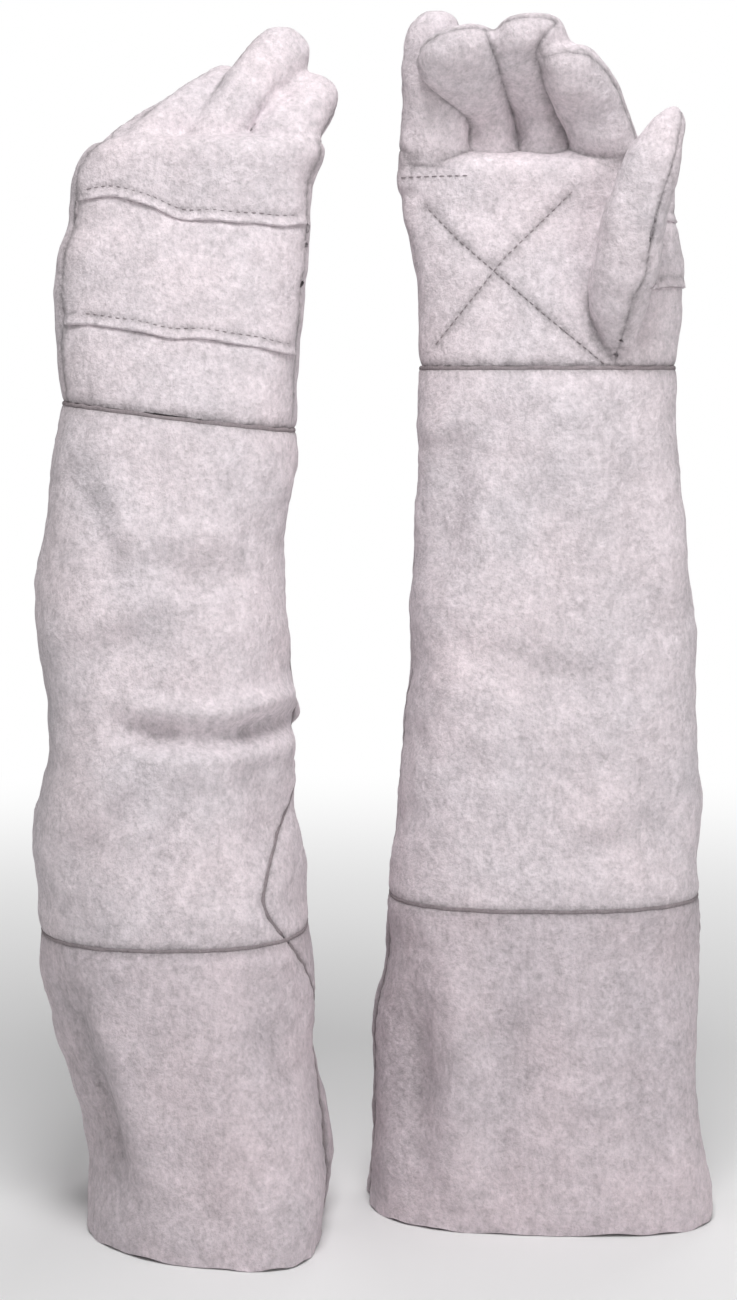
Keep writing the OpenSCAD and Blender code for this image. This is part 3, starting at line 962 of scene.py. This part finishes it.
class CutLayer:
    """A cut layer of leather or felt of one hand: corners, faces and each face's piece"""

    # Leather raised by more than this keeps its own shading, with edges sharper than the angle
    RAISED = 0.45 * MM
    SHARP_ANGLE = 50

    def __init__(self, obj, glove, label):
        self.glove = glove
        self.flat = self.points = coordinates(obj)
        self.normal = self.shade = normals(obj)
        self.dip = np.zeros(len(self.flat))
        self.near_seam = np.ones(len(self.flat), bool)
        self.faces = [tuple(f.vertices) for f in obj.data.polygons]
        self.labels = label(np.array([f.center for f in obj.data.polygons]))

    def crumple(self, obj, shape, settings):
        """Lays the waves, puckers and seam dips of leather into the layer"""
        self.labels = self.smooth_labels(obj, self.labels)
        side = shape.side_seam(self.flat)
        self.near_seam = np.abs(side) < 5 * MM
        self.points, self.dip = crumple(shape, self.flat, self.normal, side, settings)
        set_coordinates(obj, self.points)
        self.shade = normals(obj)

    @staticmethod
    def smooth_labels(obj, labels):
        """Gives a face that most of its neighbours disagree with their label"""
        beside = {}
        for f in obj.data.polygons:
            for key in f.edge_keys:
                beside.setdefault(key, []).append(f.index)
        for _ in range(3):
            fresh = labels.copy()
            for f in obj.data.polygons:
                near = [labels[g] for key in f.edge_keys for g in beside[key] if g != f.index]
                other = max(set(near), key=near.count)
                if other != labels[f.index] and near.count(other) > len(near) / 2:
                    fresh[f.index] = other
            labels = fresh
        return labels

    def piece(self, name, wanted, thickness, lift=None):
        """Makes the faces of some labels into a piece of their own"""
        faces = [f for f, label in zip(self.faces, self.labels) if label in wanted]
        used = np.unique([v for f in faces for v in f])
        index = {v: k for k, v in enumerate(used)}
        height = lift(self.flat[used]) if lift else np.zeros(len(used))
        points = self.points[used] + self.normal[used] * height[:, None]
        obj = new_object(name, points, [tuple(index[v] for v in f) for f in faces])
        # The dip becomes painted shade in the material
        keep_value(obj, "dip", self.dip[used])
        place(obj, self.glove)
        finish_piece(obj, thickness, self.SHARP_ANGLE)
        plain = (np.abs(height) < self.RAISED) | self.near_seam[used]
        outer = np.where(plain[:, None], self.shade[used] * (1, self.glove.palm_sign, 1), 0)
        shade = np.zeros((len(obj.data.vertices), 3))
        shade[:len(used)] = outer
        obj.data.normals_split_custom_set_from_vertices(shade.tolist())
        return obj


def cut_leather(obj, fields):
    bm = bmesh.new()
    bm.from_mesh(obj.data)
    for field in fields:
        cut(bm, field)
    bm.to_mesh(obj.data)
    bm.free()
    obj.data.update()


def lip_edge(shape, field, below=None):
    """Raises a piece along its lower edge and sinks it where the next piece lies over it"""
    def lift(p):
        ripple = 1 + 0.35 * np.sin(p[:, 0] / (6 * MM)) + 0.2 * np.sin(p[:, 0] / (2.7 * MM))
        out = 1.1 * MM * ripple * np.exp(-np.maximum(field(p), 0) / (3.2 * MM)) if field else 0
        if below:
            out = out - 0.8 * MM * np.exp(-np.abs(below(p)) / (5 * MM))
        return out * smoothstep(-shape.side_seam(p) / (6 * MM))
    return lift


def sew_hand(glove, settings, stitches):
    """All leather, felt and thread of one hand. Returns pieces with the CAD node each replaces."""
    shape = HandShape(glove)
    skin = hand_skin(shape, 0, settings.hand_voxel, f"{glove.side}_hand_pattern")
    digit_fields = [shape.digit_field(k) for k in range(len(shape.digits))]
    cut_leather(skin, [shape.wrist, shape.side_seam, *digit_fields,
                       shape.on_back(shape.knuckle_lip), shape.on_back(shape.patch_lip)])
    leather = CutLayer(skin, glove, leather_labels(shape))
    leather.crumple(skin, shape, settings)
    bpy.data.objects.remove(skin)
    side = glove.side
    full = settings.leather
    cuts = (
        ("palm_panel", "quilted_palm", (PALM,), full, None),
        ("wrist_band", "wrist_back_piece", (WRIST,), full, lip_edge(shape, None, shape.patch_lip)),
        ("back_patch", "back_of_hand_patch", (PATCH,), full,
         lip_edge(shape, shape.patch_lip, shape.knuckle_lip)),
        ("knuckle_band", "finger_back_piece", (KNUCKLES,), full,
         lip_edge(shape, shape.knuckle_lip)),
        ("back_panel", "back_lining_leather", (WRIST, PATCH, KNUCKLES), UNDER_LEATHER,
         lambda p: np.full(len(p), -UNDER_DEPTH)),
    )
    sheets = {}
    for node, name, labels, thickness, lift in cuts:
        sheets[f"{side}_{node}"] = leather.piece(f"{side}_{name}", labels, thickness, lift)
    for k, digit in enumerate(shape.digits):
        sheets[f"{side}_{digit.name}_palm_side"] = leather.piece(
            f"{side}_{digit.name}_palm_leather", (k,), full)
        sheets[f"{side}_{digit.name}_back_side"] = leather.piece(
            f"{side}_{digit.name}_back_leather", (k + BACK_SIDE,), full)
    felt = sew_felt(shape, settings)
    thread = sew_thread(shape, leather, stitches)
    return shape, sheets, felt, thread


def sew_felt(shape, settings):
    """The felt lining of a hand and of each of its digits"""
    side = shape.side
    inset = settings.leather + UNDER_LEATHER + 2 * settings.felt_gap
    skin = hand_skin(shape, inset, settings.lining_voxel, f"{side}_felt_pattern")
    cut_leather(skin, [shape.wrist, *(shape.digit_field(k) for k in range(len(shape.digits)))])
    layer = CutLayer(skin, shape.glove, felt_labels(shape))
    bpy.data.objects.remove(skin)
    out = {f"{side}_hand_lining": layer.piece(f"{side}_hand_felt", (PALM,), settings.felt)}
    for k, digit in enumerate(shape.digits):
        out[f"{side}_{digit.name}_lining"] = layer.piece(f"{side}_{digit.name}_felt", (k,),
                                                         settings.felt)
    return out


def sew_thread(shape, leather, stitches):
    """Stitch rows on the palm and along the edges of the back pieces"""
    side = shape.glove.side
    points = [tuple(p) for p in leather.points]
    surfaces = {look: BVHTree.FromPolygons(
        points, [f for f, label in zip(leather.faces, leather.labels)
                 if (label == PALM if look > 0 else label > PALM)]) for look in (1, -1)}
    rows = [(line, 1) for line in QUILTING[side]]
    across = np.linspace(-58, 50, 60)
    for lip in (shape.knuckle_lip, shape.patch_lip):
        level = [-lip(np.array([[x * MM, 0, 0]]))[0] / MM + 5 for x in across]
        rows.append((np.stack([across, level], 1), -1))
    little = shape.digits[0].base / MM
    rows.append((((little[0] - 20, little[2] - 6), (little[0] + 19, little[2] - 6)), 1))
    return thread_piece(f"{side}_hand_thread", shape.glove, rows, surfaces, stitches)


# ---- materials -------------------------------------------------------------

def new_group(name, inputs, outputs):
    """An empty shader node group with its sockets"""
    group = bpy.data.node_groups.new(name, "ShaderNodeTree")
    for title, kind, default in inputs:
        socket = group.interface.new_socket(title, in_out="INPUT", socket_type=kind)
        socket.default_value = default
    for title, kind in outputs:
        group.interface.new_socket(title, in_out="OUTPUT", socket_type=kind)
    nodes = group.nodes
    return group, nodes.new("NodeGroupInput"), nodes.new("NodeGroupOutput")


def add(tree, kind, links=(), **values):
    """Adds a node, sets its properties and links sockets into it"""
    node = tree.nodes.new(kind)
    for key, value in values.items():
        setattr(node, key, value)
    for socket, source in links:
        if isinstance(source, bpy.types.NodeSocket):
            tree.links.new(source, node.inputs[socket])
        else:
            node.inputs[socket].default_value = source
    return node


def calc(tree, operation, *sources):
    return add(tree, "ShaderNodeMath", enumerate(sources), operation=operation).outputs[0]


def noise_of(tree, vector, scale, detail, roughness=0.55):
    node = add(tree, "ShaderNodeTexNoise", (("Vector", vector), ("Scale", scale),
                                            ("Detail", detail), ("Roughness", roughness)))
    return node.outputs["Fac"]


def spread(tree, value, low, high):
    """Stretches the middle of a noise to the whole range from 0 to 1"""
    return add(tree, "ShaderNodeMapRange", (("Value", value), ("From Min", low),
                                            ("From Max", high))).outputs[0]


def nap_group():
    """Napped suede: fuzzy grain, brushed streaks, soft patches and painted shade where the dip is deep
    """
    floats = (("Grain", 620.0), ("Mottle", 0.3), ("Soil", 0.3), ("Depth", 0.0))
    group, ins, outs = new_group(
        "suede_nap", [("Colour", "NodeSocketColor", (1, 1, 1, 1))]
        + [(n, "NodeSocketFloat", v) for n, v in floats],
        (("Colour", "NodeSocketColor"), ("Roughness", "NodeSocketFloat"),
         ("Height", "NodeSocketFloat")))
    place_at = add(group, "ShaderNodeTexCoord").outputs["Object"]
    grain = ins.outputs["Grain"]
    brushed = add(group, "ShaderNodeMapping", (("Vector", place_at), ("Scale", (1, 1, 0.5))))
    fine = spread(group, noise_of(group, place_at, grain, 4, 0.75), 0.32, 0.68)
    coarse = spread(group, noise_of(group, place_at, calc(group, "MULTIPLY", grain, 0.36), 3), 0.3, 0.7)
    streak = spread(group, noise_of(group, brushed.outputs[0], 260.0, 3, 0.65), 0.3, 0.7)
    patch = spread(group, noise_of(group, place_at, 19.0, 3), 0.28, 0.72)
    cloud = spread(group, noise_of(group, place_at, 62.0, 4, 0.6), 0.28, 0.72)
    speck = calc(group, "ADD", calc(group, "MULTIPLY", fine, 0.5),
                 calc(group, "ADD", calc(group, "MULTIPLY", coarse, 0.25),
                      calc(group, "MULTIPLY", streak, 0.25)))
    speck = calc(group, "SUBTRACT", speck, 0.5)
    soft = calc(group, "SUBTRACT", calc(group, "ADD", calc(group, "MULTIPLY", patch, 0.55),
                                        calc(group, "MULTIPLY", cloud, 0.45)), 0.5)
    light = calc(group, "MULTIPLY_ADD", speck, 0.7, 1.0)
    light = calc(group, "ADD", light, calc(group, "MULTIPLY", soft, ins.outputs["Mottle"]))
    # Painted shade: darkens the colour where the dip attribute marks a seam groove, quilting line,
    # stitch row or fold hollow
    painted_shade = calc(group, "MULTIPLY", calc(group, "MAXIMUM", ins.outputs["Depth"], 0.0),
                ins.outputs["Soil"])
    light = calc(group, "SUBTRACT", light, painted_shade)
    warm = add(group, "ShaderNodeMix", ((0, patch), (6, (0.985, 1.0, 1.01, 1)),
                                        (7, (1.012, 0.99, 0.995, 1))), data_type="RGBA").outputs[2]
    tinted = add(group, "ShaderNodeVectorMath", ((0, ins.outputs["Colour"]), (1, warm)),
                 operation="MULTIPLY").outputs[0]
    colour = add(group, "ShaderNodeVectorMath", ((0, tinted),), operation="SCALE")
    group.links.new(light, colour.inputs["Scale"])
    height = calc(group, "ADD", calc(group, "MULTIPLY", fine, 0.45),
                  calc(group, "ADD", calc(group, "MULTIPLY", coarse, 0.5),
                       calc(group, "MULTIPLY", streak, 0.35)))
    group.links.new(colour.outputs[0], outs.inputs["Colour"])
    group.links.new(calc(group, "MULTIPLY_ADD", speck, 0.2, 0.88), outs.inputs["Roughness"])
    group.links.new(height, outs.inputs["Height"])
    return group


def napped_material(name, group, colour, grain, mottle, painted_shade, bump, sheen):
    """A suede or felt made with the nap group"""
    material = bpy.data.materials.new(name)
    material.use_nodes = True
    tree = material.node_tree
    shader = tree.nodes["Principled BSDF"]
    # The dip attribute drives the painted shade of grooves and hollows
    depth = add(tree, "ShaderNodeAttribute", attribute_name="dip").outputs["Fac"]
    nap = add(tree, "ShaderNodeGroup", node_tree=group)
    for socket, value in (("Colour", (*colour, 1)), ("Grain", grain), ("Mottle", mottle),
                          ("Soil", painted_shade)):
        nap.inputs[socket].default_value = value
    tree.links.new(depth, nap.inputs["Depth"])
    bumps = add(tree, "ShaderNodeBump", (("Strength", bump), ("Distance", 0.9 * MM),
                                         ("Height", nap.outputs["Height"])))
    tree.links.new(nap.outputs["Colour"], shader.inputs["Base Color"])
    tree.links.new(nap.outputs["Roughness"], shader.inputs["Roughness"])
    tree.links.new(bumps.outputs[0], shader.inputs["Normal"])
    shader.inputs["Specular IOR Level"].default_value = 0.15
    shader.inputs["Sheen Weight"].default_value = sheen
    shader.inputs["Sheen Roughness"].default_value = 0.5
    return material


def make_materials(colours):
    """One napped material for each slot: grain, mottle, painted shade, bump and sheen"""
    group = nap_group()
    for slot, colour, values in (("suede", colours.suede, (430, 0.2, 0.5, 0.85, 0.1)),
                                 ("cuff_suede", colours.cuff, (400, 0.26, 0.5, 0.9, 0.1)),
                                 ("welt_suede", colours.welt, (700, 0.2, 0.2, 0.6, 0.05)),
                                 ("felt", colours.felt, (420, 0.1, 0.1, 0.9, 0.2)),
                                 ("thread", colours.thread, (2400, 0.3, 0.1, 0.5, 0.1))):
        napped_material(f"napped_{slot}", group, colour, *values)


def dress(obj, slot):
    """Gives a piece its material and names the record's slot for it"""
    obj.data.materials.clear()
    obj.data.materials.append(bpy.data.materials[f"napped_{slot}"])


# ---- the studio ------------------------------------------------------------

# Name, place, watts and size in metres of each light. All face a point between the gloves.
LIGHTS = (("top_light", (0.02, -0.75, 1.5), 12.5, 0.5),
          ("front_light", (1.2, -1.9, 0.6), 9, 1.2),
          ("back_light", (0.5, 1.6, 1.9), 10, 1.2))
LIT_POINT = (0, 0, 0.3)
# Strength of the white room as light, and what is added to it where the camera sees it
ROOM_LIGHT, ROOM_SEEN = 0.32, 0.68
# Distances from the middle between which the floor turns white
FLOOR_FADE = (0.35, 1.6)
CAMERA_X = -3.3 * MM


def fade_to_white(tree, shader):
    """Lets the far floor run into the white of the studio"""
    place_at = add(tree, "ShaderNodeTexCoord").outputs["Object"]
    far = add(tree, "ShaderNodeVectorMath", ((0, place_at),), operation="LENGTH").outputs["Value"]
    share = add(tree, "ShaderNodeMapRange", (("Value", far), ("From Min", FLOOR_FADE[0]),
                                             ("From Max", FLOOR_FADE[1])),
                interpolation_type="SMOOTHSTEP").outputs[0]
    seen = calc(tree, "MULTIPLY", share, add(tree, "ShaderNodeLightPath").outputs["Is Camera Ray"])
    white = add(tree, "ShaderNodeEmission", (("Color", (1, 1, 1, 1)), ("Strength", 1.0)))
    mixed = add(tree, "ShaderNodeMixShader", ((0, seen), (1, shader.outputs[0]),
                                              (2, white.outputs[0])))
    tree.links.new(mixed.outputs[0], tree.nodes["Material Output"].inputs["Surface"])


def lay_floor(colours):
    deselect()
    bpy.ops.mesh.primitive_plane_add(size=40, location=(0, 0, 0))
    floor = bpy.context.active_object
    floor.name = "floor"
    material = bpy.data.materials.new("studio_floor")
    material.use_nodes = True
    shader = material.node_tree.nodes["Principled BSDF"]
    shader.inputs["Base Color"].default_value = (*colours.floor, 1)
    shader.inputs["Roughness"].default_value = 0.9
    shader.inputs["Specular IOR Level"].default_value = 0.1
    fade_to_white(material.node_tree, shader)
    floor.data.materials.append(material)


def light_room(scene):
    """A white world, brighter to the camera than to the gloves"""
    world = scene.world or bpy.data.worlds.new("studio")
    scene.world = world
    world.use_nodes = True
    tree = world.node_tree
    background = tree.nodes["Background"]
    background.inputs["Color"].default_value = (1, 1, 1, 1)
    seen = calc(tree, "MULTIPLY_ADD", add(tree, "ShaderNodeLightPath").outputs["Is Camera Ray"],
                ROOM_SEEN, ROOM_LIGHT)
    tree.links.new(seen, background.inputs["Strength"])
    scene.view_settings.view_transform = "Standard"


def hang_lights():
    for name, place_at, power, size in LIGHTS:
        bpy.ops.object.light_add(type="AREA", location=place_at)
        lamp = bpy.context.active_object
        lamp.name = name
        lamp.data.energy = power
        lamp.data.size = size
        aim = Vector(LIT_POINT) - Vector(place_at)
        lamp.rotation_euler = aim.to_track_quat("-Z", "Y").to_euler()


def set_camera(scene, view):
    """The camera, at its distance in front of the right glove's axis"""
    eye = (CAMERA_X, Glove("right").centre[1] - view.distance, view.height)
    bpy.ops.object.camera_add(location=eye, rotation=(math.pi / 2 - view.pitch, 0, 0))
    camera = bpy.context.active_object
    camera.name = "camera"
    camera.data.lens = view.lens
    scene.camera = camera
    deselect()


# ---- where pieces would bend at the joints; each is only baked in place ----

# Stretches over which the leather bends, in millimetres from the wrist seam or a digit's base. The
# spans are worked out but bend nothing.
WRIST_BEND = (-25, 29)
THUMB_BEND = (8, 44)
FINGER_BEND = (0, 15)


def wrist_span(glove):
    """Two points between which the leather bends at the wrist"""
    slope, height = glove.wrist_seam
    x = glove.girth[:, 1].mean()
    middle = height + slope * x
    return [glove.world((x, 0, middle + dz * MM)) for dz in WRIST_BEND]


def bend_at_wrist(obj, glove):
    start, end = wrist_span(glove)
    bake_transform(obj)
    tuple(start)
    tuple(end)


def bend_at_digit(obj, glove, digit):
    stretch = THUMB_BEND if digit.name == "thumb" else FINGER_BEND
    points = [glove.world(digit.base + digit.along[0] * d * MM) for d in stretch]
    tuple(points[0])
    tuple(points[1])
    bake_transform(obj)


# ---- operators -------------------------------------------------------------

class GLOVES_OT_stage(bpy.types.Operator):
    """Floor, lights and camera"""
    bl_idname = "gloves.stage"
    bl_label = "Set up the stage"

    def execute(self, context):
        settings = context.scene.gloves
        lay_floor(settings.colour)
        light_room(context.scene)
        hang_lights()
        set_camera(context.scene, settings.camera)
        return {"FINISHED"}


class GLOVES_OT_materials(bpy.types.Operator):
    """Suede, felt and thread materials"""
    bl_idname = "gloves.materials"
    bl_label = "Make the materials"

    def execute(self, context):
        make_materials(context.scene.gloves.colour)
        return {"FINISHED"}


class GLOVES_OT_sleeve(bpy.types.Operator):
    """Leather panels, welts and felt of one sleeve"""
    bl_idname = "gloves.sleeve"
    bl_label = "Sew a sleeve"
    side: EnumProperty(name="Glove", description="Which glove", items=SIDE_ITEMS)

    def execute(self, context):
        settings = context.scene.gloves.leather
        glove = Glove(self.side)
        surface = SleeveSurface(glove)
        side = self.side
        body = f"{side}_sleeve"
        for part, word, rows in ((0, "lower", 90), (1, "upper", 140)):
            for facing in ("palm", "back"):
                panel = sleeve_panel(surface, part, facing, rows, 130, settings)
                # The lower sleeve gets the darker suede copy, which paints its shade
                dress(panel, "suede" if part else "cuff_suede")
                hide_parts(f"{side}_{word}_sleeve_{facing}_side")
                angles = (0, math.pi) if facing == "palm" else (math.pi, 2 * math.pi)
                surface.cut_size(angles, part, part)
                if part:
                    bend_at_wrist(panel, glove)
                else:
                    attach(panel, body)
        low = ring_welt(surface, 0, "sleeve_seam_roll", settings.waviness)
        high = ring_welt(surface, 1, "wrist_seam_roll", settings.waviness)
        sides = side_welts(surface, settings.waviness)
        felt = sleeve_lining(surface, settings)
        inset = lining_inset(settings)
        surface.cut_size((0, 2 * math.pi), 0, 1, inset)
        for piece, node, slot in ((low, "sleeve_seam_welt", "welt_suede"),
                                  (high, "wrist_seam_welt", "welt_suede"),
                                  (sides, "side_seam_welts", "welt_suede"),
                                  (felt, "sleeve_lining", "felt")):
            dress(piece, slot)
            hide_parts(f"{side}_{node}")
        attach(low, body)
        for piece in (high, sides, felt):
            bend_at_wrist(piece, glove)
        return {"FINISHED"}


class GLOVES_OT_hand(bpy.types.Operator):
    """Leather, felt and thread of one hand"""
    bl_idname = "gloves.hand"
    bl_label = "Sew a hand"
    side: EnumProperty(name="Glove", description="Which glove", items=SIDE_ITEMS)

    def execute(self, context):
        settings = context.scene.gloves
        glove = Glove(self.side)
        shape, leather, felt, thread = sew_hand(glove, settings.leather, settings.stitch)
        of_digit = {f"{self.side}_{d.name}": d for d in shape.digits}
        for slot, pieces in (("suede", leather), ("felt", felt)):
            for node, piece in pieces.items():
                dress(piece, slot)
                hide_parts(node)
                digit = of_digit.get("_".join(node.split("_")[:2]))
                if digit:
                    bend_at_digit(piece, glove, digit)
                else:
                    bend_at_wrist(piece, glove)
        dress(thread, "thread")
        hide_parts(f"{self.side}_stitching")
        bend_at_wrist(thread, glove)
        return {"FINISHED"}


class GLOVES_PT_panel(bpy.types.Panel):
    """Sidebar list of everything that can be made"""
    bl_idname = "GLOVES_PT_panel"
    bl_label = "Cryogenic gloves"
    bl_space_type = "VIEW_3D"
    bl_region_type = "UI"
    bl_category = "Gloves"

    def draw(self, context):
        layout = self.layout
        for operator in (GLOVES_OT_stage, GLOVES_OT_materials):
            layout.operator(operator.bl_idname)
        for side in SIDES:
            for operator in (GLOVES_OT_sleeve, GLOVES_OT_hand):
                layout.operator(operator.bl_idname).side = side
        settings = context.scene.gloves
        for group in (settings.leather, settings.stitch, settings.colour, settings.camera):
            box = layout.box()
            for name in group.__annotations__:
                box.prop(group, name)


CLASSES = (LeatherSettings, StitchSettings, ColourSettings, CameraSettings, GloveSettings,
           GLOVES_OT_stage, GLOVES_OT_materials, GLOVES_OT_sleeve, GLOVES_OT_hand,
           GLOVES_PT_panel)


def register():
    for cls in CLASSES:
        bpy.utils.register_class(cls)
    bpy.types.Scene.gloves = PointerProperty(type=GloveSettings)


def unregister():
    del bpy.types.Scene.gloves
    for cls in reversed(CLASSES):
        bpy.utils.unregister_class(cls)


def main():
    register()
    bpy.ops.gloves.stage()
    bpy.ops.gloves.materials()
    for side in SIDES:
        bpy.ops.gloves.sleeve(side=side)
        bpy.ops.gloves.hand(side=side)


if __name__ == "__main__":
    main()
